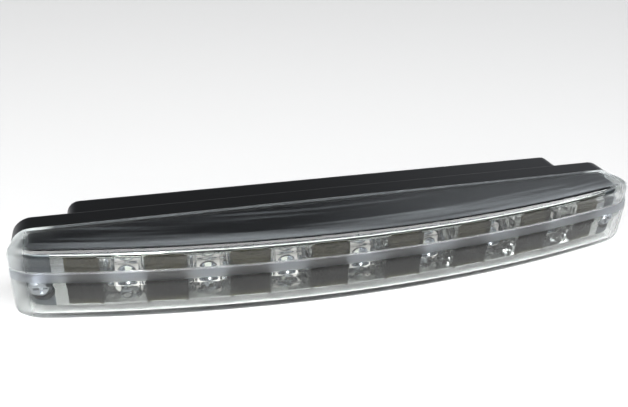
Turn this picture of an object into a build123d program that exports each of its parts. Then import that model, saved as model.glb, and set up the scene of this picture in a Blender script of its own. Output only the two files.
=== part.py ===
from build123d import *
import os
from math import asin, cos, degrees, radians, sin

# Millimetres. X runs along the lamp, -Y is the lit front, +Z is up.
# The origin is at the middle of the lamp's footprint, on the surface it rests on.

# Envelope of lens and housing
lamp_length = 160.0
lamp_height = 17.8
front_bow = 9.1          # the middle of the front stands this far ahead of its ends
lens_end_depth = 10.6    # from the ends of the bow back to the housing
corner_radius = 4.8      # corners seen from the front
end_radius = 11.6        # round of the two ends seen from above
end_sweep = 50.0         # degrees that the end round turns before the end wall
end_overrun = 80.0       # degrees that it is drawn, past the end wall
edge_round = 2.6         # round of the front edge, all the way along

# Clear lens
lens_wall = 1.8
crease_low = 10.7        # moulded crease along the front: a bevel that leans back up to a step
crease_high = 12.8
crease_depth = 0.6       # how far the bevel leans back
step_back = 1.0          # above the crease the front stands this far back
tongue_width = 0.7       # rib on the lens rim that sits in the housing groove
tongue_depth = 0.6

# Seal and its groove in the housing flange
groove_depth = 1.5
groove_clearance = 0.1

# Housing
flange_thickness = 5.8
flange_round = 1.0
box_depth = 9.0
box_end_step = 12.0      # the rear box stands in from the flange, at each end
box_step = 1.3           # and above and below
box_corner = 3.0
box_round = 2.0
housing_wall = 2.4
pad_height = 0.8         # raised bracket pads on the back
pad_radius = 5.2

# Reflector
reflector_wall = 1.2
reflector_side_gap = 0.6     # between the reflector skirt and the lens
reflector_front_gap = 2.0    # between the reflector face and the lens
reflector_round = 0.5
led_count = 7
led_row_inset = 23.2         # first diode from the end of the lamp
cup_width = 9.5
cup_border = 1.2             # face left above and below each cup
cup_depth = 5.2
cup_throat = 5.2             # square hole at the back of each cup
lip_width = 0.6
lip_height = 0.5

# Light-emitting diodes and their board
led_side = 6.0
led_mark = 0.8               # chamfered corner
led_base = 2.4
led_dome_radius = 2.25
led_gap = 0.2                # diode face behind the cup throat
led_skirt_gap = 0.5          # diode above the bottom of the reflector
seat_gap = 0.05              # flat pieces on the bent board
board_thickness = 1.0
board_overhang = 8.0         # board past the first and last diode
board_clearance = 0.4        # board edge to reflector skirt

# Screws
end_screw_inset = 6.0        # from the end of the lamp
end_screw_radius = 1.1
end_screw_length = 8.0
end_head_radius = 2.5
end_head_height = 1.7
end_seat_thickness = 1.5
end_recess_depth = 2.0       # head seat behind the reflector face
post_radius = 2.2
board_screw_radius = 0.85
board_screw_length = 5.0
board_head_radius = 1.9
board_head_height = 1.2
boss_radius = 2.1
screw_clearance = 0.12
head_clearance = 0.6
drive_slot = 0.7
drive_share = 1.2            # cross slot length over head radius
head_bevel_share = 0.45      # head edge bevel over head height

# Parts on the back of the board
resistor_size = (6.3, 3.2, 0.7)
diode_size = (4.4, 2.6, 2.2)
capacitor_radius = 3.1
capacitor_height = 5.6
capacitor_bevel = 0.6
terminal_size = (7.0, 4.4, 3.6)
terminal_well_radius = 1.0
terminal_well_depth = 1.8
terminal_well_spacing = 3.5

# Back of the housing
insert_spacing = 90.0
insert_radius = 3.0
insert_length = 6.5
insert_bore_radius = 1.65
insert_clearance = 0.1
insert_boss_wall = 1.6
insert_waist_depth = 0.4
insert_waist_width = 0.8
grommet_bore_radius = 2.2
grommet_neck_radius = 3.4
grommet_lip_radius = 4.6
grommet_lip = 1.6
grommet_clearance = 0.1
vent_reach = 22.0
vent_radius = 2.4
vent_cap_radius = 3.6
vent_clearance = 0.1

# Places worked out from the sizes above
half_length = lamp_length / 2
mid_z = lamp_height / 2
total_depth = front_bow + lens_end_depth + flange_thickness + box_depth + pad_height
crown_y = -total_depth / 2
seat_y = crown_y + front_bow + lens_end_depth
flange_back_y = seat_y + flange_thickness
box_back_y = flange_back_y + box_depth
pad_y = box_back_y + pad_height
box_length = lamp_length - 2 * box_end_step
box_height = lamp_height - 2 * box_step
bow_radius = (half_length**2 + front_bow**2) / (2 * front_bow)
bow_axis_y = crown_y + bow_radius
end_turn = asin((half_length - end_radius * sin(radians(end_sweep))) / (bow_radius - end_radius))
row_half_angle = degrees(asin((half_length - led_row_inset) / bow_radius))
pitch_angle = 2 * row_half_angle / (led_count - 1)
end_screw_reach = half_length - end_screw_inset
face_inset = lens_wall + reflector_front_gap
skirt_inset = lens_wall + reflector_side_gap
inner_inset = skirt_inset + reflector_wall
cup_height = lamp_height - 2 * (skirt_inset + cup_border)
optic_z = inner_inset + led_skirt_gap + led_side / 2
face_y = crown_y + face_inset
throat_y = face_y + cup_depth
led_face_y = throat_y + led_gap
board_y = led_face_y + led_base + seat_gap
board_back_y = board_y + board_thickness
end_screw_face_y = bow_axis_y - (bow_radius**2 - end_screw_reach**2) ** 0.5 + face_inset
end_seat_y = end_screw_face_y + end_recess_depth
post_front_y = end_seat_y + end_seat_thickness
margin = 3.0                 # overshoot of tools that cut right through


def bow_turn(angle):
    return Pos(0, bow_axis_y, 0) * Rot(0, 0, angle) * Pos(0, -bow_axis_y, 0)


def bow_point(centre, radius, angle):
    return (centre[0] + radius * sin(angle), centre[1] - radius * cos(angle))


def y_prism(sketch, x, z, near_y, far_y):
    return extrude(Pos(x, near_y, z) * (Plane.XZ * sketch), far_y - near_y, dir=(0, 1, 0))


def y_rod(radius, x, z, near_y, far_y):
    return y_prism(Circle(radius), x, z, near_y, far_y)


def front_plate(inset, near_y, far_y):
    shape = RectangleRounded(lamp_length - 2 * inset, lamp_height - 2 * inset, corner_radius - inset)
    return y_prism(shape, 0, mid_z, near_y, far_y)


def plan_profile(front_inset, back_y):
    # Bowed front arc, tangent round at each end, straight back
    centre = (0, bow_axis_y)
    round_right = bow_point(centre, bow_radius - end_radius, end_turn)
    round_left = (-round_right[0], round_right[1])
    bow = bow_radius - front_inset
    small = end_radius - front_inset
    last = radians(end_overrun)
    middle = (end_turn + last) / 2
    right = [bow_point(round_right, small, a) for a in (end_turn, middle, last)]
    left = [bow_point(round_left, small, -a) for a in (end_turn, middle, last)]
    back_right = (right[2][0], back_y)
    back_left = (left[2][0], back_y)
    edges = [
        ThreePointArc(left[0], (0, crown_y + front_inset), right[0]),
        ThreePointArc(right[0], right[1], right[2]),
        Line(right[2], back_right),
        Line(back_right, back_left),
        Line(back_left, left[2]),
        ThreePointArc(left[2], left[1], left[0]),
    ]
    return make_face(edges)


def front_rim(block, half, back_y):
    # The edges round the front, without the smooth seams and the open back
    rim = []
    for edge in block.edges():
        box = edge.bounding_box()
        upright = box.size.X < 0.01 and box.size.Y < 0.01
        smooth = upright and abs(edge.center().X) < half - 0.01
        if box.max.Y < back_y - 0.01 and not smooth:
            rim.append(edge)
    return rim


def bowed_block(front_inset, side_inset, back_y, rounding):
    bar = Pos(0, 0, -margin) * extrude(plan_profile(front_inset, back_y), lamp_height + 2 * margin)
    block = bar & front_plate(side_inset, crown_y - margin, back_y + margin)
    if rounding > 0:
        block = fillet(front_rim(block, half_length - side_inset, back_y), rounding)
    return block


def rim_ring(width, near_y, far_y):
    # A ring under the middle of the lens rim
    outer = (lens_wall - width) / 2
    return front_plate(outer, near_y, far_y) - front_plate(outer + width, near_y, far_y)


def front_slab(low, high):
    # All of the room ahead of the housing between two heights
    depth = seat_y - crown_y + 2 * margin
    slab = Box(lamp_length + 2 * margin, depth, high - low)
    return Pos(0, (crown_y + seat_y) / 2, (low + high) / 2) * slab


def stepped_block(inset, back_y, rounding):
    # Above the crease the same form stands back
    block = bowed_block(inset, inset, back_y, rounding)
    upper = Pos(0, step_back, 0) * block
    return block - (front_slab(crease_high, lamp_height + margin) - upper)


def crease_bevel():
    # What the bevel takes off: the plan moves back from the foot of the crease to the step
    plan = plan_profile(0, seat_y + 2 * margin)
    lean = loft([Pos(0, 0, crease_low) * plan, Pos(0, crease_depth, crease_high) * plan])
    return front_slab(crease_low, crease_high) - lean


def clear_lens():
    lens = stepped_block(0, seat_y, edge_round) - crease_bevel()
    lens -= stepped_block(lens_wall, seat_y + margin, edge_round - lens_wall)
    return lens + rim_ring(tongue_width, seat_y, seat_y + tongue_depth)


def lens_seal():
    return rim_ring(tongue_width, seat_y + tongue_depth, seat_y + groove_depth)


def insert_places():
    return [(x, mid_z) for x in (-insert_spacing / 2, insert_spacing / 2)]


def housing():
    flange = front_plate(0, seat_y, flange_back_y)
    back_loop = flange.faces().sort_by(Axis.Y)[-1].edges()
    body = fillet(back_loop, flange_round)
    box_shape = RectangleRounded(box_length, box_height, box_corner)
    box = y_prism(box_shape, 0, mid_z, flange_back_y, box_back_y)
    body += fillet(box.faces().sort_by(Axis.Y)[-1].edges(), box_round)
    inner_length = box_length - 2 * housing_wall
    inner_height = box_height - 2 * housing_wall
    inner_corner = box_corner - housing_wall
    hollow = RectangleRounded(inner_length, inner_height, inner_corner)
    body -= y_prism(hollow, 0, mid_z, seat_y - margin, box_back_y - housing_wall)
    for x, z in insert_places():
        hole_radius = insert_radius + insert_clearance
        boss_front_y = pad_y - insert_length - insert_boss_wall
        body += y_rod(hole_radius + insert_boss_wall, x, z, boss_front_y, box_back_y)
        body += y_rod(pad_radius, x, z, box_back_y - housing_wall, pad_y)
        body -= y_rod(hole_radius, x, z, pad_y - insert_length, pad_y + margin)
    for side in (-1, 1):
        x = side * end_screw_reach
        body += y_rod(post_radius, x, optic_z, post_front_y, seat_y + flange_thickness / 2)
        pilot_end = end_seat_y + end_screw_length + screw_clearance
        body -= y_rod(end_screw_radius + screw_clearance, x, optic_z, post_front_y, pilot_end)
    neck = grommet_neck_radius + grommet_clearance
    body -= y_rod(neck, 0, mid_z, box_back_y - housing_wall - margin, box_back_y + margin)
    stem = vent_radius + vent_clearance
    body -= y_rod(stem, vent_reach, mid_z, box_back_y - housing_wall - margin, box_back_y + margin)
    groove = tongue_width + 2 * groove_clearance
    return body - rim_ring(groove, seat_y - margin, seat_y + groove_depth)


def cup_angles():
    first = -(led_count - 1) / 2
    return [(first + i) * pitch_angle for i in range(led_count)]


def boss_angles():
    # Behind the faces one in from each end, and beside the middle cup
    outer = (led_count - 2) / 2
    return [step * pitch_angle for step in (-outer, -0.5, 0.5, outer)]


def cup_section(y, grow):
    # The four-sided funnel at a depth, with its wall added; it runs down to the diode's height
    share = (y - face_y) / cup_depth
    width = cup_width + (cup_throat - cup_width) * share + 2 * grow
    height = cup_height + (cup_throat - cup_height) * share + 2 * grow
    centre_z = mid_z + (optic_z - mid_z) * share
    return Pos(0, y, centre_z) * (Plane.XZ * Rectangle(width, height))


def reflector():
    tray = bowed_block(face_inset, skirt_inset, seat_y, reflector_round)
    hollow = bowed_block(face_inset + reflector_wall, inner_inset, seat_y + margin, 0)
    funnel = loft([cup_section(face_y - margin, 0), cup_section(throat_y + margin / 2, 0)])
    walls = loft([cup_section(face_y, reflector_wall), cup_section(throat_y, reflector_wall)])
    lip_near_y = face_y - lip_height
    lip_shape = Rectangle(cup_width + 2 * lip_width, cup_height + 2 * lip_width)
    lip = y_prism(lip_shape, 0, mid_z, lip_near_y, face_y + reflector_wall / 2)
    boss = y_rod(boss_radius, 0, mid_z, face_y + reflector_wall / 2, board_y - seat_gap)
    pilot_front_y = board_back_y - board_screw_length - screw_clearance
    pilot = y_rod(board_screw_radius + screw_clearance, 0, mid_z, pilot_front_y, board_y + margin)
    for angle in cup_angles():
        hollow -= bow_turn(angle) * walls
    body = tray - hollow
    for angle in cup_angles():
        body += bow_turn(angle) * lip
    for angle in cup_angles():
        body -= bow_turn(angle) * funnel
    for angle in boss_angles():
        body += bow_turn(angle) * boss
        body -= bow_turn(angle) * pilot
    recess_radius = end_head_radius + head_clearance
    for side in (-1, 1):
        x = side * end_screw_reach
        pad = y_rod(recess_radius + reflector_wall, x, optic_z, end_screw_face_y, post_front_y)
        body += pad & bowed_block(face_inset, skirt_inset, seat_y, reflector_round)
        body -= y_rod(recess_radius, x, optic_z, end_screw_face_y - margin, end_seat_y)
        body -= y_rod(end_screw_radius + screw_clearance, x, optic_z, end_seat_y, post_front_y)
    return body


def led_board():
    half_height = lamp_height / 2 - inner_inset - board_clearance
    section = Plane.YZ * make_face(
        Polyline(
            (board_y, mid_z - half_height),
            (board_back_y, mid_z - half_height),
            (board_back_y, mid_z + half_height),
            (board_y, mid_z + half_height),
            close=True,
        )
    )
    half_angle = row_half_angle + degrees(board_overhang / bow_radius)
    axis = Axis((0, bow_axis_y, 0), (0, 0, 1))
    board = revolve(bow_turn(-half_angle) * section, axis, 2 * half_angle)
    hole = y_rod(board_screw_radius + screw_clearance, 0, mid_z, board_y - margin, board_back_y + margin)
    for angle in boss_angles():
        board -= bow_turn(angle) * hole
    return board


def led():
    base = y_prism(Rectangle(led_side, led_side), 0, optic_z, led_face_y, led_face_y + led_base)
    marked = base.edges().filter_by(Axis.Y).sort_by(Axis.X)[-2:].sort_by(Axis.Z)[-1]
    base = chamfer(marked, led_mark)
    return base + Pos(0, led_face_y, optic_z) * Sphere(led_dome_radius)


def pan_screw(head_radius, head_height, radius, length):
    # Seat of the head at the origin, head forward (-Y), cross slot in the head
    head = y_rod(head_radius, 0, 0, -head_height, 0)
    screw = chamfer(head.edges().sort_by(Axis.Y)[0], head_height * head_bevel_share)
    screw += y_rod(radius, 0, 0, 0, length)
    reach = head_radius * drive_share
    for width, height in ((reach, drive_slot), (drive_slot, reach)):
        screw -= y_prism(Rectangle(width, height), 0, 0, -head_height - margin, -head_height / 2)
    return screw


def end_screws():
    screw = pan_screw(end_head_radius, end_head_height, end_screw_radius, end_screw_length)
    return [Pos(side * end_screw_reach, end_seat_y, optic_z) * screw for side in (-1, 1)]


def board_screws():
    screw = pan_screw(board_head_radius, board_head_height, board_screw_radius, board_screw_length)
    placed = Pos(0, board_back_y + seat_gap, mid_z) * Rot(0, 0, 180) * screw
    return [bow_turn(angle) * placed for angle in boss_angles()]


def on_board_back(size, steps):
    # A flat-bottomed part on the back of the board, so many pitches from the middle
    length, height, depth = size
    base_y = board_back_y + seat_gap
    block = y_prism(Rectangle(length, height), 0, mid_z, base_y, base_y + depth)
    return bow_turn(steps * pitch_angle) * block


def smoothing_capacitor(steps):
    base_y = board_back_y + seat_gap
    can = y_rod(capacitor_radius, 0, mid_z, base_y, base_y + capacitor_height)
    top = can.edges().sort_by(Axis.Y)[-1]
    return bow_turn(steps * pitch_angle) * chamfer(top, capacitor_bevel)


def wire_terminal(steps):
    # Two solder wells for the supply wires
    block = on_board_back(terminal_size, 0)
    top_y = board_back_y + seat_gap + terminal_size[2]
    for side in (-1, 1):
        x = side * terminal_well_spacing / 2
        block -= y_rod(terminal_well_radius, x, mid_z, top_y - terminal_well_depth, top_y + margin)
    return bow_turn(steps * pitch_angle) * block


def bracket_inserts():
    inserts = []
    for x, z in insert_places():
        sleeve = y_rod(insert_radius, x, z, pad_y - insert_length, pad_y)
        waist_y = pad_y - (insert_length + insert_waist_width) / 2
        waist_end_y = waist_y + insert_waist_width
        waist = y_rod(insert_radius + margin, x, z, waist_y, waist_end_y)
        sleeve -= waist - y_rod(insert_radius - insert_waist_depth, x, z, waist_y, waist_end_y)
        sleeve -= y_rod(insert_bore_radius, x, z, pad_y - insert_length - margin, pad_y + margin)
        inserts.append(sleeve)
    return inserts


def cable_grommet():
    inner_y = box_back_y - housing_wall
    ring = y_rod(grommet_neck_radius, 0, mid_z, inner_y, box_back_y)
    ring += y_rod(grommet_lip_radius, 0, mid_z, inner_y - grommet_lip, inner_y)
    ring += y_rod(grommet_lip_radius, 0, mid_z, box_back_y, pad_y)
    return ring - y_rod(grommet_bore_radius, 0, mid_z, inner_y - grommet_lip - margin, pad_y + margin)


def breather_plug():
    inner_y = box_back_y - housing_wall
    stem = y_rod(vent_radius, vent_reach, mid_z, inner_y, box_back_y)
    cap = y_rod(vent_cap_radius, vent_reach, mid_z, box_back_y, pad_y)
    return stem + cap


def write(name, shape):
    export_step(shape, f"parts/{name}.step")


os.makedirs("parts", exist_ok=True)
write("clear_lens", clear_lens())
write("lens_seal", lens_seal())
write("housing", housing())
write("reflector", reflector())
write("led_board", led_board())
for number, angle in enumerate(cup_angles(), 1):
    write(f"led_{number}", bow_turn(angle) * led())
write("end_screws", Compound(children=end_screws()))
write("board_screws", Compound(children=board_screws()))
write("resistor_1", on_board_back(resistor_size, -2))
write("resistor_2", on_board_back(resistor_size, -1))
write("polarity_diode", on_board_back(diode_size, 1))
write("smoothing_capacitor", smoothing_capacitor(2))
write("wire_terminal", wire_terminal(0))
write("bracket_inserts", Compound(children=bracket_inserts()))
write("cable_grommet", cable_grommet())
write("breather_plug", breather_plug())
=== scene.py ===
from math import asin, cos, pi, radians, sin
import bmesh
import bpy
import numpy as np
from mathutils import Matrix, Vector


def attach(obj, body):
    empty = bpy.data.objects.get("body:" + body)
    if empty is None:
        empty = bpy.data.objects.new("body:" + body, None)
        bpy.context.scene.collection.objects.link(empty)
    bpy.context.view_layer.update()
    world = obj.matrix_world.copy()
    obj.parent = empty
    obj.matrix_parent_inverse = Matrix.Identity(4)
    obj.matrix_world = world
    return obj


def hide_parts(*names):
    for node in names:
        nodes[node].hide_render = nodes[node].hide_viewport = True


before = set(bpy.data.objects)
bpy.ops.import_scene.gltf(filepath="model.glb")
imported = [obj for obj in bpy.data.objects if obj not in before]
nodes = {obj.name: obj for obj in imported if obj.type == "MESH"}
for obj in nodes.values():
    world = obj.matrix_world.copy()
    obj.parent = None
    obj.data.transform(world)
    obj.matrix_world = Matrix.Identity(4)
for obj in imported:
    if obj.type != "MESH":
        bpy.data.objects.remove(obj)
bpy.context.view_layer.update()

mm = 0.001
weldGap = 0.0005  # mm; points closer than this are one point
print("frame loaded:", len(nodes), "nodes")

# The lamp's own form, in mm, the same values as the solids
lampForm = {
    "length": 160.0, "height": 17.8, "depth": 35.3,
    "bow": 9.1, "lensEndDepth": 10.6, "endRadius": 11.6, "endSweep": 50.0,
    "faceInset": 3.8, "rowInset": 23.2, "ledCount": 7,
}
halfLength = lampForm["length"] / 2
crownY = -lampForm["depth"] / 2
seatY = crownY + lampForm["bow"] + lampForm["lensEndDepth"]
bowRadius = (halfLength ** 2 + lampForm["bow"] ** 2) / (2 * lampForm["bow"])
bowAxisY = crownY + bowRadius
rowHalfAngle = asin((halfLength - lampForm["rowInset"]) / bowRadius)
pitchAngle = 2 * rowHalfAngle / (lampForm["ledCount"] - 1)
cupAngles = (np.arange(lampForm["ledCount"]) - (lampForm["ledCount"] - 1) / 2) * pitchAngle


def toLinear(hexColour):
    # the sRGB curve: a straight toe, then a power
    srgb = np.array([int(hexColour[i:i + 2], 16) for i in (0, 2, 4)]) / 255
    linear = np.where(srgb <= 0.04045, srgb / 12.92, ((srgb + 0.055) / 1.055) ** 2.4)
    return (*linear.tolist(), 1.0)


def setInputs(tree, node, inputs):
    # each input gets a value, or a link from a socket or from a node's first live output
    for key, value in inputs.items():
        if isinstance(value, bpy.types.Node):
            value = next(socket for socket in value.outputs if socket.enabled)
        if isinstance(value, bpy.types.NodeSocket):
            tree.links.new(value, node.inputs[key])
        else:
            node.inputs[key].default_value = value


def addNode(tree, kind, inputs=None, **settings):
    # one node: settings are its own properties, inputs are values, sockets or nodes to link
    node = tree.nodes.new(kind)
    for key, value in settings.items():
        setattr(node, key, value)
    setInputs(tree, node, inputs or {})
    return node


def newMaterial(name):
    material = bpy.data.materials.new(name)
    material.use_nodes = True
    tree = material.node_tree
    shader = tree.nodes["Principled BSDF"]
    place = addNode(tree, "ShaderNodeTexCoord").outputs["Object"]
    return material, tree, shader, place


def noiseBump(tree, shader, place, sizeMm, heightMm, strength, detail=3.0):
    # moulded or blasted grain: noise of a real size, as a bump of a real height
    noise = addNode(tree, "ShaderNodeTexNoise",
                    {"Vector": place, "Scale": 1 / (sizeMm * mm), "Detail": detail})
    bump = addNode(tree, "ShaderNodeBump",
                   {"Height": noise, "Distance": heightMm * mm, "Strength": strength})
    setInputs(tree, shader, {"Normal": bump})
    return noise


def newPiece(name, parts, materials, sharpAngle):
    # parts are (points in mm, faces, material number or one number per face), joined in one mesh
    starts = np.cumsum([0] + [len(points) for points, faces, slot in parts]).tolist()
    verts = np.concatenate([points for points, faces, slot in parts]) * mm
    joined = [[i + start for i in face]
              for (points, faces, slot), start in zip(parts, starts) for face in faces]
    slots = np.concatenate([np.broadcast_to(slot, len(faces)) for points, faces, slot in parts])
    mesh = bpy.data.meshes.new(name)
    mesh.from_pydata(verts.tolist(), [], joined)
    for material in materials:
        mesh.materials.append(material)
    mesh.polygons.foreach_set("material_index", slots.astype(np.int32))
    mesh.polygons.foreach_set("use_smooth", np.ones(len(joined), dtype=bool))
    # weld the points that fall together, which also drops the faces that shrink to nothing there
    welded = bmesh.new()
    welded.from_mesh(mesh)
    bmesh.ops.remove_doubles(welded, verts=welded.verts, dist=weldGap * mm)
    welded.to_mesh(mesh)
    welded.free()
    mesh.set_sharp_from_angle(angle=radians(sharpAngle))
    mesh.update()
    piece = bpy.data.objects.new(name, mesh)
    bpy.context.scene.collection.objects.link(piece)
    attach(piece, "root")
    return piece


def gridFaces(rows, cols, closed=False, start=0):
    # quads of a rows x cols grid of points, closed round its columns if asked
    r, c = np.meshgrid(np.arange(rows - 1), np.arange(cols if closed else cols - 1), indexing="ij")
    d = (c + 1) % cols
    quads = np.stack([r * cols + c, r * cols + d, (r + 1) * cols + d, (r + 1) * cols + c], axis=-1)
    return (quads.reshape(-1, 4) + start).tolist()


def onBow(points, angle):
    # turns points from the middle of the lamp to an angle along the bow
    p = np.array(points, dtype=float)
    x, y = p[:, 0].copy(), p[:, 1] - bowAxisY
    p[:, 0] = x * cos(angle) - y * sin(angle)
    p[:, 1] = x * sin(angle) + y * cos(angle) + bowAxisY
    return p


# Camera, matched to the photograph: angles in degrees, focal length and image width in pixels, the
# rest in mm
cameraView = {
    "azimuth": -17.939, "elevation": 28.734, "roll": 2.879,
    "distance": 169.477, "target": (-9.474, 0.0, 17.682),
    "focal": 685.082, "imageWidth": 628, "sensorWidth": 36.0, "nearest": 5.0,
}


def makeCamera(view):
    a, e, r = (radians(view[k]) for k in ("azimuth", "elevation", "roll"))
    back = Vector((sin(a) * cos(e), -cos(a) * cos(e), sin(e)))
    right = (-back).cross(Vector((0, 0, 1))).normalized()
    up = right.cross(-back)
    turnedRight = right * cos(r) + up * sin(r)
    turnedUp = -right * sin(r) + up * cos(r)
    data = bpy.data.cameras.new("camera")
    data.sensor_width = view["sensorWidth"]
    data.sensor_fit = "HORIZONTAL"
    data.lens = view["focal"] / view["imageWidth"] * view["sensorWidth"]
    data.clip_start = view["nearest"] * mm
    camera = bpy.data.objects.new("camera", data)
    bpy.context.scene.collection.objects.link(camera)
    turn = Matrix((turnedRight, turnedUp, back)).transposed().to_4x4()
    place = (Vector(view["target"]) + back * view["distance"]) * mm
    camera.matrix_world = Matrix.Translation(place) @ turn
    bpy.context.scene.camera = camera


makeCamera(cameraView)
print("camera set")


# Clear polycarbonate, polished mould: sharp reflections, faint flow waves, hardly any tint, and a haze
# that grows round the ends, where the mould face is duller
polycarbonateIor = 1.585
hazeForm = {"from": 73.0, "full": 78.5, "polished": 0.02, "hazed": 0.4}


def clearPolycarbonate(form):
    material, tree, shader, place = newMaterial("clear_polycarbonate_moulded")
    parts = addNode(tree, "ShaderNodeSeparateXYZ", {"Vector": place})
    fromMiddle = addNode(tree, "ShaderNodeMath", {0: parts.outputs["X"]}, operation="ABSOLUTE")
    haze = addNode(tree, "ShaderNodeMapRange", {
        "Value": fromMiddle, "From Min": form["from"] * mm, "From Max": form["full"] * mm,
        "To Min": form["polished"], "To Max": form["hazed"]}, interpolation_type="SMOOTHSTEP")
    setInputs(tree, shader, {"Base Color": toLinear("E2E4E3"), "Roughness": haze,
                             "IOR": polycarbonateIor, "Transmission Weight": 1.0})
    noiseBump(tree, shader, place, sizeMm=12.0, heightMm=0.01, strength=0.5, detail=0.0)
    return material


# The same polycarbonate off an eroded mould face: a frosted band that blurs what is behind it, its
# bluish-grey tint a painted reflection of the sky, with its grain drawn coarser than real so that it shows
def frostedPolycarbonate():
    material, tree, shader, place = newMaterial("clear_polycarbonate_frosted")
    # the bluish-grey base colour is a painted reflection of the sky; the frosting itself is the roughness
    setInputs(tree, shader, {"Base Color": toLinear("BEC2C8"), "Roughness": 0.55,
                             "IOR": polycarbonateIor, "Transmission Weight": 1.0})
    noiseBump(tree, shader, place, sizeMm=0.5, heightMm=0.02, strength=0.4)
    return material


# Rim where the lens is bonded to the housing: milky sealant, thick and pale round the ends and below,
# squeezed thin along the top so that the black housing greys it
rimForm = {
    "pale": "B8BCBC", "darkened": "4C4F51", "patchy": 0.3,
    "thinAbove": 15.0, "endsFrom": 73.0, "fade": 3.0,
}


def bondedRim(form):
    material, tree, shader, place = newMaterial("milky_sealant_bonded")
    noise = noiseBump(tree, shader, place, sizeMm=0.8, heightMm=0.03, strength=0.5)
    parts = addNode(tree, "ShaderNodeSeparateXYZ", {"Vector": place})
    fromMiddle = addNode(tree, "ShaderNodeMath", {0: parts.outputs["X"]}, operation="ABSOLUTE")
    inward = addNode(tree, "ShaderNodeMapRange", {
        "Value": fromMiddle, "From Min": form["endsFrom"] * mm,
        "From Max": (form["endsFrom"] - form["fade"]) * mm})
    above = addNode(tree, "ShaderNodeMath", {0: parts.outputs["Z"], 1: form["thinAbove"] * mm},
                    operation="GREATER_THAN")
    darkened = addNode(tree, "ShaderNodeMath", {0: inward, 1: above}, operation="MULTIPLY")
    uneven = addNode(tree, "ShaderNodeMath", {0: noise, 1: form["patchy"], 2: -form["patchy"] / 2},
                     operation="MULTIPLY_ADD")
    share = addNode(tree, "ShaderNodeMath", {0: darkened, 1: uneven}, operation="ADD", use_clamp=True)
    tone = addNode(tree, "ShaderNodeMix", {"Factor": share, "A": toLinear(form["pale"]),
                                           "B": toLinear(form["darkened"])}, data_type="RGBA")
    setInputs(tree, shader, {"Base Color": tone, "Roughness": 0.6, "IOR": 1.42})
    return material


# Lens: a profile (bottom, edge round, front with its crease, edge round, top) carried along the plan
lensForm = {
    "wall": 1.8, "edgeRound": 2.6, "cornerRound": 4.8, "rimGap": 0.03, "stepBack": 1.0, "sharp": 28.0,
    # line through the crease as (set back, height), the round of each corner, and the heights that the
    # frosting lies between; inside, the crease is softer
    "outerCrease": {"line": ((0, 9.7), (0, 10.7), (0.6, 12.8), (1.0, 12.8), (1.0, 13.8)),
                    "rounds": (1.5, 0.4, 0.1), "steps": 8, "frosted": (10.75, 12.75)},
    "innerCrease": {"line": ((0, 8.0), (0, 9.0), (0.4, 10.3), (1.0, 12.3), (1.0, 13.3)),
                    "rounds": (1.5, 0.5, 1.5), "steps": 8, "frosted": (10.3, 12.2)},
    # points along the plan, then along the profile
    "bowSteps": 180, "endSteps": 14, "cornerSteps": 8, "wallSteps": 10,
    "roundSteps": 8, "flatSteps": 6, "faceSteps": 8,
}


def planPath(form):
    # outer plan curve from the left seat round the front to the right seat: points, normals, edge round.
    # The right half is a core line (bow, end round, corner, wall) pushed out by the edge round
    r, endRadius = form["edgeRound"], lampForm["endRadius"]
    endTurn = asin((halfLength - endRadius * sin(radians(lampForm["endSweep"]))) / (bowRadius - endRadius))
    endX = (bowRadius - endRadius) * sin(endTurn)
    endY = bowAxisY - (bowRadius - endRadius) * cos(endTurn)
    lastTurn = asin((halfLength - r - endX) / (endRadius - r))
    cornerY = endY - (endRadius - r) * cos(lastTurn)
    bowTurn = np.linspace(0, endTurn, form["bowSteps"] // 2, endpoint=False)
    endRoundTurn = np.linspace(endTurn, lastTurn, form["endSteps"], endpoint=False)
    cornerTurn = np.linspace(lastTurn, pi / 2, form["cornerSteps"], endpoint=False)
    wallY = np.linspace(cornerY, seatY - form["rimGap"], form["wallSteps"])
    coreX = np.concatenate([(bowRadius - r) * np.sin(bowTurn),
                            endX + (endRadius - r) * np.sin(endRoundTurn),
                            np.full(len(cornerTurn) + len(wallY), halfLength - r)])
    coreY = np.concatenate([bowAxisY - (bowRadius - r) * np.cos(bowTurn),
                            endY - (endRadius - r) * np.cos(endRoundTurn),
                            np.full(len(cornerTurn), cornerY), wallY])
    turn = np.concatenate([bowTurn, endRoundTurn, cornerTurn, np.full(len(wallY), pi / 2)])
    grow = np.concatenate([np.zeros(len(turn) - len(wallY)), np.linspace(0, 1, len(wallY))])
    edge = r + (form["cornerRound"] - r) * grow ** 2 * (3 - 2 * grow)
    px, py = coreX + r * np.sin(turn), coreY - r * np.cos(turn)
    points = np.stack([np.concatenate([-px[:0:-1], px]), np.concatenate([py[:0:-1], py])], axis=-1)
    normals = np.stack([np.concatenate([-np.sin(turn)[:0:-1], np.sin(turn)]),
                        np.concatenate([-np.cos(turn)[:0:-1], -np.cos(turn)])], axis=-1)
    return points, normals, np.concatenate([edge[:0:-1], edge])


def cornerArcs(corners, rounds, steps):
    # an arc at each inner corner of a line: centre - r cos(t) inward + r sin(t) along, t across the turn
    c = np.array(corners, dtype=float)
    leg = np.diff(c, axis=0)
    leg /= np.linalg.norm(leg, axis=1)[:, None]
    arcs = []
    for corner, before, after, r in zip(c[1:-1], leg[:-1], leg[1:], rounds):
        half = np.arccos(np.clip(before @ after, -1, 1)) / 2
        inward = (after - before) / (2 * sin(half))
        along = (after + before) / (2 * cos(half))
        t = np.linspace(-half, half, steps)[:, None]
        arcs.append(corner + inward * r / cos(half) - inward * r * np.cos(t) + along * r * np.sin(t))
    return np.concatenate(arcs)


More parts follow.
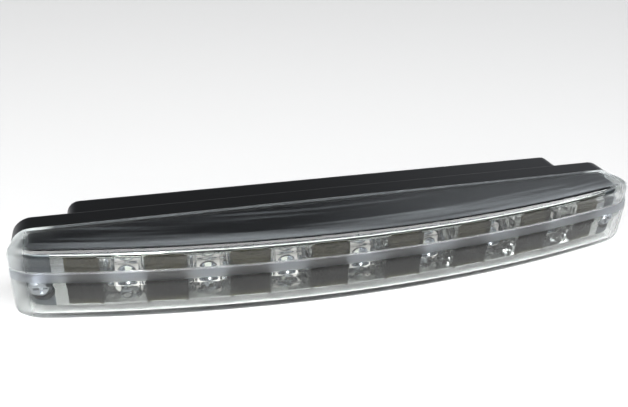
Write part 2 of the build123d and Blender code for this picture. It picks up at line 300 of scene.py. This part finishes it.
def lensSheet(form, inset, crease):
    # rows of the profile as (depth behind the plan curve, height, set back), each carried along the path;
    # the flats run to the seat, and the set back fades out round the corners
    points, normals, edge = planPath(form)
    height, back = lampForm["height"], form["stepBack"]
    r = edge - inset
    along = np.concatenate([[0], np.cumsum(np.linalg.norm(np.diff(points, axis=0), axis=1))])
    seatX = (2 * along / along[-1] - 1) * (halfLength - form["cornerRound"])
    rimY = seatY - form["rimGap"]
    base = points - normals * inset
    front = base - normals * r[:, None]
    fade = (form["cornerRound"] - edge) / (form["cornerRound"] - form["edgeRound"])
    flat = np.linspace(0, 1, form["flatSteps"], endpoint=False)
    bend = np.linspace(0, pi / 2, form["roundSteps"], endpoint=False)
    rise = np.linspace(0, 1, form["faceSteps"], endpoint=False)
    arcs = cornerArcs(crease["line"], crease["rounds"], crease["steps"])
    creaseFoot, creaseTop, top = arcs[0, 1], arcs[-1, 1], height - inset - r
    rows = []

    def faceRow(depth, z, shift):
        spot = base - normals * np.broadcast_to(depth, r.shape)[:, None]
        rows.append(np.column_stack([spot[:, 0], spot[:, 1] + shift * fade, np.broadcast_to(z, r.shape)]))

    def flatRow(share, z, shift):
        rows.append(np.column_stack([seatX + (front[:, 0] - seatX) * share,
                                     rimY + (front[:, 1] + shift * fade - rimY) * share,
                                     np.full(len(r), z)]))

    for share in flat:
        flatRow(share, inset, 0)
    for a in bend:
        faceRow(r * (1 - np.sin(a)), inset + r * (1 - np.cos(a)), 0)
    for share in rise:
        faceRow(0, inset + r + (creaseFoot - inset - r) * share, 0)
    for shift, z in arcs:
        faceRow(0, z, shift)
    for share in rise[1:]:
        faceRow(0, creaseTop + (top - creaseTop) * share, back)
    for a in bend:
        faceRow(r * (1 - np.cos(a)), top + r * np.sin(a), back)
    for share in np.linspace(1, 0, form["flatSteps"] + 1):
        flatRow(share, height - inset, back)
    return np.array(rows)


def makeLens(form, clear, frosted, rim):
    materials = [clear, frosted, rim]
    creases = [form["outerCrease"], form["innerCrease"]]
    outer = lensSheet(form, 0.0, creases[0])
    inner = lensSheet(form, form["wall"], creases[1])
    rows, cols = outer.shape[:2]
    count = rows * cols
    sheets = gridFaces(rows, cols) + [face[::-1] for face in gridFaces(rows, cols, start=count)]
    # the rim joins the edges of the two sheets, all the way round
    loop = np.concatenate([np.arange(cols), np.arange(1, rows) * cols + cols - 1,
                           (rows - 1) * cols + np.arange(cols - 2, -1, -1),
                           np.arange(rows - 2, 0, -1) * cols])
    following = np.roll(loop, -1)
    rimFaces = np.stack([following, loop, loop + count, following + count], axis=-1).tolist()
    verts = np.concatenate([outer.reshape(-1, 3), inner.reshape(-1, 3)])
    # the crease's bevel and the slope inside it are frosted, all the way round
    heights = verts[np.array(sheets), 2].mean(axis=1).reshape(2, -1)
    limits = np.array([crease["frosted"] for crease in creases])
    frosty = (heights > limits[:, :1]) & (heights < limits[:, 1:])
    slots = np.concatenate([frosty.ravel(), np.full(len(rimFaces), materials.index(rim))])
    piece = newPiece("clear_lens_shell", [(verts, sheets + rimFaces, slots)], materials, form["sharp"])
    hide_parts("clear_lens")
    piece.visible_shadow = False  # clear plastic lets the light through to what is behind it
    return piece


lens = makeLens(lensForm, clearPolycarbonate(hazeForm), frostedPolycarbonate(), bondedRim(rimForm))
print("lens:", len(lens.data.polygons), "faces")


# Vacuum-metallised ABS: a mirror skin on moulded plastic, slightly soft, with pillow facets in the cups.
# The flat faces between the cups are painted dark olive as a painted reflection, the pads round the end
# screws are dull, and the skirt is painted darker towards the back as painted shade
reflectorForm = {
    # a flat face's half width and depth, and how far from the middle the row ends and the pads start
    "landHalfWidth": 4.65, "landDepth": 0.7, "rowEnd": 68.8, "endPad": 71.6,
    # half heights of the lips and the skirt, and where the skirt's painted shade darkens: behind the face,
    # ahead of the seat
    "lipHalf": 5.9, "skirtHalf": 6.45, "skirtShadeFade": 9.0, "seatShadeFade": (9.0, 3.0),
    "streakLength": 80.0, "streakWidth": 2.0, "streakDetail": 2.0, "streakGain": 2.6, "streakShift": -1.15,
    # skirt tones: its front, and its back darkened as painted shade
    "chrome": "C8C9C7", "pad": "62686C", "skirtUnshadedTone": "595B5E", "skirtPaintedShadeTone": "0D0E10",
    # the painted reflection's tones on the flat faces, by height
    "paintedReflectionTones": ((2.4, "6E6A54"), (4.4, "12110D"), (9.0, "161613"), (12.0, "57523D")),
    "mirrorRough": 0.05, "dullRough": 0.33, "facet": 1.9, "facetHeight": 0.3,
}


def metallisedAbs(form):
    material, tree, shader, place = newMaterial("vacuum_metallised_abs")
    height = lampForm["height"]
    faceRadius = (bowRadius - lampForm["faceInset"]) * mm
    pitch = faceRadius * pitchAngle
    # place on the bow: radius from its axis, angle and pitches along it, height off the middle
    parts = addNode(tree, "ShaderNodeSeparateXYZ", {"Vector": place})
    x, y, z = (parts.outputs[axis] for axis in "XYZ")
    fromAxis = addNode(tree, "ShaderNodeMath", {0: y, 1: bowAxisY * mm}, operation="SUBTRACT")
    flatSpot = addNode(tree, "ShaderNodeCombineXYZ", {"X": x, "Y": fromAxis})
    radius = addNode(tree, "ShaderNodeVectorMath", {0: flatSpot}, operation="LENGTH")
    ahead = addNode(tree, "ShaderNodeMath", {0: fromAxis, 1: -1.0}, operation="MULTIPLY")
    angle = addNode(tree, "ShaderNodeMath", {0: x, 1: ahead}, operation="ARCTAN2")
    pitches = addNode(tree, "ShaderNodeMath", {0: angle, 1: pitchAngle}, operation="DIVIDE")
    fromMid = addNode(tree, "ShaderNodeMath", {0: z, 1: height / 2 * mm}, operation="SUBTRACT")
    offMid = addNode(tree, "ShaderNodeMath", {0: fromMid}, operation="ABSOLUTE")
    # painted dark reflection: near the face, within a half width of the middle between two cups, in the
    # row, off the lips
    onFace = addNode(tree, "ShaderNodeMath", {0: radius, 1: faceRadius, 2: form["landDepth"] * mm},
                     operation="COMPARE")
    fold = addNode(tree, "ShaderNodeMath", {0: pitches, 1: 1.0}, operation="FLOORED_MODULO")
    onLand = addNode(tree, "ShaderNodeMath", {0: fold, 1: 0.5, 2: form["landHalfWidth"] * mm / pitch},
                     operation="COMPARE")
    inRow = addNode(tree, "ShaderNodeMath", {0: pitches, 1: 0.0, 2: form["rowEnd"] * mm / pitch},
                    operation="COMPARE")
    offLips = addNode(tree, "ShaderNodeMath", {0: offMid, 1: form["lipHalf"] * mm}, operation="LESS_THAN")
    paintedReflectionMask = onFace
    for mask in (onLand, inRow, offLips):
        paintedReflectionMask = addNode(tree, "ShaderNodeMath", {0: paintedReflectionMask, 1: mask}, operation="MULTIPLY")
    # pads beyond the row, skirt above and below, cups behind the face
    withinPads = addNode(tree, "ShaderNodeMath", {0: pitches, 1: 0.0, 2: form["endPad"] * mm / pitch},
                         operation="COMPARE")
    onPad = addNode(tree, "ShaderNodeMath", {0: 1.0, 1: withinPads}, operation="SUBTRACT")
    onSkirt = addNode(tree, "ShaderNodeMath", {0: offMid, 1: form["skirtHalf"] * mm},
                      operation="GREATER_THAN")
    inCup = addNode(tree, "ShaderNodeMath", {0: radius, 1: faceRadius - form["landDepth"] * mm},
                    operation="LESS_THAN")
    # skirt: painted shade, darker behind the face and near the seat, in streaks drawn out along the bow
    along = addNode(tree, "ShaderNodeMath", {0: angle, 1: bowRadius / form["streakLength"]},
                    operation="MULTIPLY")
    across = addNode(tree, "ShaderNodeMath", {0: radius, 1: 1 / (form["streakWidth"] * mm)},
                     operation="MULTIPLY")
    streakSpot = addNode(tree, "ShaderNodeCombineXYZ", {"X": along, "Y": across})
    shadeStreaks = addNode(tree, "ShaderNodeTexNoise",
                      {"Vector": streakSpot, "Scale": 1.0, "Detail": form["streakDetail"]})
    shadeBehindFace = addNode(tree, "ShaderNodeMapRange", {
        "Value": radius, "From Min": faceRadius, "From Max": faceRadius - form["skirtShadeFade"] * mm})
    fadeFrom, fadeTo = ((seatY - gap) * mm for gap in form["seatShadeFade"])
    shadeNearSeat = addNode(tree, "ShaderNodeMapRange", {"Value": y, "From Min": fadeFrom, "From Max": fadeTo})
    darkened = addNode(tree, "ShaderNodeMath", {0: shadeBehindFace, 1: shadeNearSeat}, operation="MAXIMUM")
    uneven = addNode(tree, "ShaderNodeMath", {0: shadeStreaks, 1: form["streakGain"], 2: form["streakShift"]},
                     operation="MULTIPLY_ADD")
    paintedShadeShare = addNode(tree, "ShaderNodeMath", {0: darkened, 1: uneven}, operation="ADD", use_clamp=True)
    skirt = addNode(tree, "ShaderNodeMix", {"Factor": paintedShadeShare, "A": toLinear(form["skirtUnshadedTone"]),
                                            "B": toLinear(form["skirtPaintedShadeTone"])}, data_type="RGBA")
    # painted reflection on the flat faces: darkest at the middle of the face, lighter and more olive
    # towards its edges
    level = addNode(tree, "ShaderNodeMath", {0: z, 1: height * mm}, operation="DIVIDE")
    paintedReflectionRamp = addNode(tree, "ShaderNodeValToRGB", {"Fac": level})
    stops = paintedReflectionRamp.color_ramp.elements
    for stopHeight, colour in form["paintedReflectionTones"][1:-1]:
        stops.new(stopHeight / height)
    for stop, (stopHeight, colour) in zip(stops, form["paintedReflectionTones"]):
        stop.position = stopHeight / height
        stop.color = toLinear(colour)
    # each finish over the last: the painted reflection, the dull pads, the skirt with its painted shade
    tone = toLinear(form["chrome"])
    for mask, colour in ((paintedReflectionMask, paintedReflectionRamp), (onPad, toLinear(form["pad"])), (onSkirt, skirt)):
        tone = addNode(tree, "ShaderNodeMix", {"Factor": mask, "A": tone, "B": colour}, data_type="RGBA")
    dull = addNode(tree, "ShaderNodeMath", {0: onSkirt, 1: onPad}, operation="MAXIMUM")
    rough = addNode(tree, "ShaderNodeMapRange", {
        "Value": dull, "To Min": form["mirrorRough"], "To Max": form["dullRough"]})
    metal = addNode(tree, "ShaderNodeMath", {0: 1.0, 1: onSkirt}, operation="SUBTRACT")
    # small pillow facets in the cups, so each throws its own spark
    facets = addNode(tree, "ShaderNodeTexVoronoi", {"Vector": place, "Scale": 1 / (form["facet"] * mm)})
    pillowed = addNode(tree, "ShaderNodeMath", {0: inCup, 1: metal}, operation="MULTIPLY")
    bump = addNode(tree, "ShaderNodeBump", {
        "Height": facets, "Strength": pillowed, "Distance": form["facetHeight"] * mm})
    setInputs(tree, shader, {"Base Color": tone, "Roughness": rough, "Metallic": metal, "Normal": bump})
    return material


# Moulded, drawn or plated part: a grain (size and height in mm, strength), drawn coarser than real so
# that it shows, shades it between two tones; more holds its other inputs
def mouldedPart(name, tones, roughness, more=None, grain=(0.5, 0.01, 0.4)):
    material, tree, shader, place = newMaterial(name)
    noise = noiseBump(tree, shader, place, *grain)
    tone = addNode(tree, "ShaderNodeMix", {"Factor": noise, "A": toLinear(tones[0]),
                                           "B": toLinear(tones[1])}, data_type="RGBA")
    setInputs(tree, shader, {"Base Color": tone, "Roughness": roughness, **(more or {})})
    return material


# Bare metal: one colour, and a grain, coarser than real too, that makes its gloss uneven
def bareMetal(name, colour, roughness, grain):
    material, tree, shader, place = newMaterial(name)
    noise = noiseBump(tree, shader, place, *grain)
    gloss = addNode(tree, "ShaderNodeMapRange", {
        "Value": noise, "To Min": roughness[0], "To Max": roughness[1]})
    setInputs(tree, shader, {"Base Color": toLinear(colour), "Roughness": gloss, "Metallic": 1.0})
    return material


finishes = {
    "metallised": metallisedAbs(reflectorForm),
    # off a spark-eroded mould: fine even grain, soft highlights
    "abs": mouldedPart("black_abs_spark_eroded", ("0B0B0C", "151617"), roughness=0.34,
                       more={"IOR": 1.54}, grain=(0.35, 0.02, 0.5)),
    # pale metal, fine turning marks, slightly uneven plating
    "zinc": bareMetal("zinc_plated_steel", "C4C7CC", roughness=(0.22, 0.38), grain=(0.8, 0.01, 0.5)),
    # near black, dull, a little dusty in its grain
    "rubber": mouldedPart("moulded_rubber", ("101010", "262626"), roughness=0.75,
                          more={"IOR": 1.52}, grain=(0.6, 0.02, 0.5)),
    # yellow metal with the fine marks of the tool
    "brass": bareMetal("turned_brass", "C9A45A", roughness=(0.2, 0.36), grain=(0.5, 0.008, 0.5)),
    # white printed coat with a satin face
    "mask": mouldedPart("white_solder_mask", ("D8DAD4", "E6E8E2"), roughness=0.45),
    # black, with a soft satin face
    "epoxy": mouldedPart("black_moulded_epoxy", ("141414", "202020"), roughness=0.5),
    # pale metal with blurred reflections
    "can": mouldedPart("drawn_aluminium_can", ("A6A9AC", "BABDC0"), roughness=0.32,
                       more={"Metallic": 1.0}),
    # dark grey, dull, slightly waxy
    "plug": mouldedPart("dark_grey_moulded_nylon", ("2E2F31", "3C3D40"), roughness=0.55),
    # off-white, slightly waxy
    "nylon": mouldedPart("white_moulded_nylon", ("D3D0C4", "E2DFD4"), roughness=0.5),
    # bright plate with clear reflections
    "leads": mouldedPart("silver_plated_leads", ("C6C9CC", "DCDFE2"), roughness=0.16,
                         more={"Metallic": 1.0}),
    # pale, faintly yellow and soft
    "phosphor": mouldedPart("pale_phosphor_gel", ("DDDED0", "ECEDE2"), roughness=0.5),
    # white with a slight sheen
    "package": mouldedPart("white_moulded_polyamide", ("E2DFDC", "F0EDEA"), roughness=0.4),
}
nodeFinish = {
    "housing": "abs", "reflector": "metallised", "end_screws": "zinc", "board_screws": "zinc",
    "lens_seal": "rubber", "cable_grommet": "rubber", "breather_plug": "plug", "bracket_inserts": "brass",
    "led_board": "mask", "resistor_1": "epoxy", "resistor_2": "epoxy", "polarity_diode": "epoxy",
    "smoothing_capacitor": "can", "wire_terminal": "nylon",
}
for name, finish in nodeFinish.items():
    nodes[name].data.materials.clear()
    nodes[name].data.materials.append(finishes[finish])
print("finishes on", len(nodeFinish), "nodes")


# Diode: a white square package with a clear dome, and the plated leads and die bowl under it
ledForm = {
    "height": 7.1, "throatDepth": 9.2, "rimSteps": 48, "tip": 0.01,
    # package: the foot and the shoulder are drawn in a little, over a short round
    "side": 6.0, "base": 2.4, "cornerPower": 8.0, "footShare": 0.97, "footRound": 0.15,
    "shoulderShare": 0.96, "shoulderRound": 0.25, "packageSharp": 40.0,
    "domeRadius": 2.25, "domeFlare": 1.06, "domeSteps": 14,
    "leadSize": (2.3, 0.3, 5.0), "leadGap": 0.4, "leadDepth": 1.5, "leadsSharp": 30.0,
    "bowlRadius": 1.6, "bowlMouth": 1.5, "bowlLip": 0.2, "bowlWall": 0.1, "bowlBack": 1.6,
    "bowlSteps": 12, "dieRadius": 0.4,
}
ledFaceY = crownY + ledForm["throatDepth"]
ledTurn = np.linspace(0, 2 * pi, ledForm["rimSteps"], endpoint=False)


# Clear cast epoxy: glassy, a touch blue, with the leads bright inside it
def castEpoxy():
    material, tree, shader, place = newMaterial("clear_cast_epoxy")
    setInputs(tree, shader, {"Base Color": toLinear("F2F5F8"), "Roughness": 0.03, "IOR": 1.53,
                             "Transmission Weight": 1.0})
    noiseBump(tree, shader, place, sizeMm=1.2, heightMm=0.01, strength=0.4, detail=1.0)
    return material


def turnedRings(radii, depths, axisZ):
    # rings about the diode's axis, (radius cos t, depth, radius sin t); the last two faces close the
    # first ring and the last one
    radii = np.array([np.broadcast_to(r, len(ledTurn)) for r in radii])
    depths = np.broadcast_to(np.array(depths)[:, None] + ledFaceY, radii.shape)
    rings = np.stack([radii * np.cos(ledTurn), depths, radii * np.sin(ledTurn) + axisZ], axis=-1)
    faces = gridFaces(len(radii), len(ledTurn), closed=True)
    faces.append(list(range(len(ledTurn)))[::-1])
    faces.append(list(range(radii.size - len(ledTurn), radii.size)))
    return rings.reshape(-1, 3), faces


def makePackage(number, angle, form, epoxy, package):
    # a rounded square, |cos t|^p + |sin t|^p to the power -1/p, that closes in to a half ball
    power = form["cornerPower"]
    square = (np.abs(np.cos(ledTurn)) ** power + np.abs(np.sin(ledTurn)) ** power) ** (-1 / power)
    square = square * form["side"] / 2
    bend = np.linspace(0, pi / 2, form["domeSteps"])
    dome = form["domeRadius"]
    caseRadii = [square * form["footShare"], square, square, square * form["shoulderShare"],
                 dome * form["domeFlare"]]
    caseDepths = [form["base"], form["base"] - form["footRound"], form["shoulderRound"], 0.0, 0.0]
    points, faces = turnedRings([*caseRadii, *(dome * np.cos(bend[:-1])), form["tip"]],
                                [*caseDepths, *(-dome * np.sin(bend))], form["height"])
    # the bands between the case's rings and its back are white, the dome is clear
    slots = np.zeros(len(faces), dtype=int)
    slots[:(len(caseRadii) - 1) * len(ledTurn)] = 1
    slots[-2] = 1
    piece = newPiece(f"led_{number}_package", [(onBow(points, angle), faces, slots)],
                     [epoxy, package], form["packageSharp"])
    piece.visible_shadow = False
    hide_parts(f"led_{number}")


def makeLeads(number, angle, form, leads, phosphor):
    # two lead plates side by side, and the die bowl with its gel between them
    corners = np.array(np.meshgrid([-0.5, 0.5], [-0.5, 0.5], [-0.5, 0.5], indexing="ij")).reshape(3, -1).T
    boxFaces = [[0, 1, 3, 2], [4, 6, 7, 5], [0, 4, 5, 1], [2, 3, 7, 6], [0, 2, 6, 4], [1, 5, 7, 3]]
    parts = []
    for side in (-1, 1):
        middle = np.array([side * (form["leadSize"][0] + form["leadGap"]) / 2,
                           ledFaceY + form["leadDepth"], form["height"]])
        parts.append((onBow(corners * form["leadSize"] + middle, angle), boxFaces, 0))
    # bowl: depth = lip + sqrt(R^2 - r^2) - sqrt(R^2 - mouth^2), closed behind; the die is its middle
    ball, mouth, lip, back = (form[key] for key in ("bowlRadius", "bowlMouth", "bowlLip", "bowlBack"))
    r = np.concatenate([np.linspace(mouth, form["dieRadius"], form["bowlSteps"]), [form["tip"]]])
    depth = lip + np.sqrt(ball ** 2 - r ** 2) - np.sqrt(ball ** 2 - mouth ** 2)
    outside = mouth + form["bowlWall"]
    points, faces = turnedRings([form["tip"], outside, outside, *r], [back, back, lip, *depth],
                                form["height"])
    slots = np.zeros(len(faces), dtype=int)
    slots[-2 - len(ledTurn):-2] = 1
    slots[-1] = 1
    parts.append((onBow(points, angle), faces, slots))
    piece = newPiece(f"led_{number}_leads", parts, [leads, phosphor], form["leadsSharp"])


ledEpoxy = castEpoxy()
for number, angle in enumerate(cupAngles.tolist(), 1):
    makePackage(number, angle, ledForm, ledEpoxy, finishes["package"])
    makeLeads(number, angle, ledForm, finishes["leads"], finishes["phosphor"])
print("diodes:", len(cupAngles))


# Studio: pale floor, dim room, soft light
studio = {
    "floorHalf": 1500.0, "floorDrop": 0.2, "floorSteps": 21, "floorColour": "ACACAC", "floorRough": 0.6,
    # the room brightens softly towards one side (azimuth and elevation, the angles off it that the glow
    # rises between) and at the horizon
    "skyColour": "E6EAF0", "skyDim": 0.07, "skyBright": 0.5,
    "skyTowards": (55.0, 26.0), "skyRise": (36.0, 16.0),
    "horizon": 0.5, "horizonFade": (8.0, 19.0), "contrast": 0.85,
    # a light that isn't on the lens reaches what is behind it, but leaves no hard-edged glare on it
    "lights": [
        {"name": "top_strip", "place": (0, -560, 4400), "size": (10400, 2300), "glow": 7.8, "onLens": True},
        {"name": "small_key", "place": (-165, -370, 403), "size": (70, 70), "glow": 190.0, "onLens": True},
        {"name": "front_softbox", "place": (-72, -434, 259), "size": (210, 520), "glow": 3.0,
         "onLens": False},
    ],
}


def makeFloor(setting):
    half, steps = setting["floorHalf"], setting["floorSteps"]
    u, v = np.meshgrid(np.linspace(-half, half, steps), np.linspace(-half, half, steps))
    verts = np.stack([u.ravel(), v.ravel(), np.full(u.size, -setting["floorDrop"])], axis=-1)
    material, tree, shader, place = newMaterial("pale_painted_floor")
    setInputs(tree, shader, {"Base Color": toLinear(setting["floorColour"]),
                             "Roughness": setting["floorRough"]})
    mesh = bpy.data.meshes.new("floor")
    mesh.from_pydata((verts * mm).tolist(), [], gridFaces(steps, steps))
    mesh.materials.append(material)
    floor = bpy.data.objects.new("floor", mesh)
    bpy.context.scene.collection.objects.link(floor)


def makeRoom(setting):
    world = bpy.data.worlds.new("soft_room")
    world.use_nodes = True
    tree = world.node_tree
    azimuth, elevation = (radians(angle) for angle in setting["skyTowards"])
    towards = (sin(azimuth) * cos(elevation), cos(azimuth) * cos(elevation), sin(elevation))
    look = addNode(tree, "ShaderNodeTexCoord").outputs["Generated"]
    nearness = addNode(tree, "ShaderNodeVectorMath", {0: look, 1: towards}, operation="DOT_PRODUCT")
    wide, narrow = (cos(radians(angle)) for angle in setting["skyRise"])
    glow = addNode(tree, "ShaderNodeMapRange", {
        "Value": nearness, "From Min": wide, "From Max": narrow,
        "To Min": setting["skyDim"], "To Max": setting["skyBright"]}, interpolation_type="SMOOTHSTEP")
    upward = addNode(tree, "ShaderNodeSeparateXYZ", {"Vector": look}).outputs["Z"]
    low, high = (sin(radians(angle)) for angle in setting["horizonFade"])
    horizon = addNode(tree, "ShaderNodeMapRange", {
        "Value": upward, "From Min": low, "From Max": high,
        "To Min": setting["horizon"], "To Max": 0.0}, interpolation_type="SMOOTHSTEP")
    strength = addNode(tree, "ShaderNodeMath", {0: glow, 1: horizon}, operation="ADD")
    setInputs(tree, tree.nodes["Background"], {"Color": toLinear(setting["skyColour"]),
                                               "Strength": strength})
    bpy.context.scene.world = world
    bpy.context.scene.view_settings.view_transform = "Standard"
    bpy.context.scene.view_settings.gamma = setting["contrast"]


def makeLights(setting, lens):
    for lamp in setting["lights"]:
        data = bpy.data.lights.new(lamp["name"], "AREA")
        data.shape = "RECTANGLE"
        data.size, data.size_y = (side * mm for side in lamp["size"])
        data.energy = lamp["glow"] * pi * data.size * data.size_y  # watts that give this radiance
        light = bpy.data.objects.new(lamp["name"], data)
        light.location = Vector(lamp["place"]) * mm
        light.rotation_euler = (-light.location).to_track_quat("-Z", "Y").to_euler()
        light.visible_camera = False
        bpy.context.scene.collection.objects.link(light)
        if not lamp["onLens"]:
            spared = bpy.data.collections.new("spared_" + lamp["name"])
            spared.objects.link(lens)
            spared.collection_objects[0].light_linking.link_state = "EXCLUDE"
            light.light_linking.receiver_collection = spared


makeFloor(studio)
makeRoom(studio)
makeLights(studio, lens)
print("studio lit")
